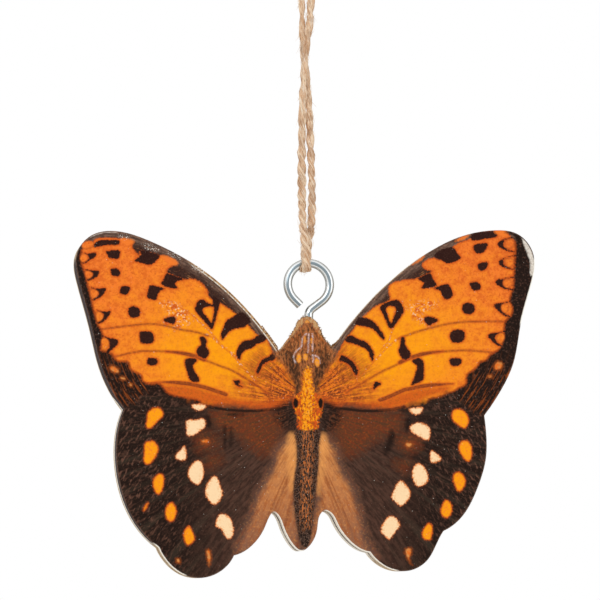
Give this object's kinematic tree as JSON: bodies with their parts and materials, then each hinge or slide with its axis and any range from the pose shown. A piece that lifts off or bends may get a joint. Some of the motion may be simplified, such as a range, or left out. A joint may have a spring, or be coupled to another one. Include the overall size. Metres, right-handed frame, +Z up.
{
  "type": "butterfly ornament",
  "caption": "Flat plywood butterfly with a printed paper front, an open screw eye in its top edge and a twine loop that hangs it from a hook; it turns, swings and rocks on the loop.",
  "frame": {"origin": "where a hook bears in the twine loop, just under its knot", "axes": "+X to the right across the wings, +Y from the printed front to the bare back, +Z up along the loop"},
  "size_m": [0.0902, 0.0052, 0.1319],
  "materials": {
    "printed_paper": "clear lacquer over a print",
    "face_veneer": "sanded, bare",
    "core_veneer": "sawn edge, bare",
    "zinc_wire": "bright zinc plate",
    "jute_twine": "two-ply jute"
  },
  "bodies": {
    "twine_top": {"twine_knot": "jute_twine", "twine_neck": "jute_twine"},
    "twine_loop": {"twine_leg_left": "jute_twine", "twine_leg_right": "jute_twine"},
    "bight": {"twine_bight": "jute_twine"},
    "ornament": {"front_print": "printed_paper", "front_ply": "face_veneer", "core_ply": "core_veneer", "back_ply": "face_veneer", "screw_eye": "zinc_wire"}
  },
  "joints": [
    {"name": "turn", "type": "hinge", "parent": "twine_top", "child": "twine_loop", "pos_m": [0, 0, -0.008], "axis": [0, 0, 1], "range_deg": [-180, 180]},
    {"name": "rock", "type": "hinge", "parent": "twine_loop", "child": "bight", "pos_m": [0, 0, -0.06], "axis": [1, 0, 0], "range_deg": [-80, 80]},
    {"name": "swing", "type": "hinge", "parent": "bight", "child": "ornament", "pos_m": [0, 0, -0.06415], "axis": [0, 1, 0], "range_deg": [-65, 65]}
  ]
}
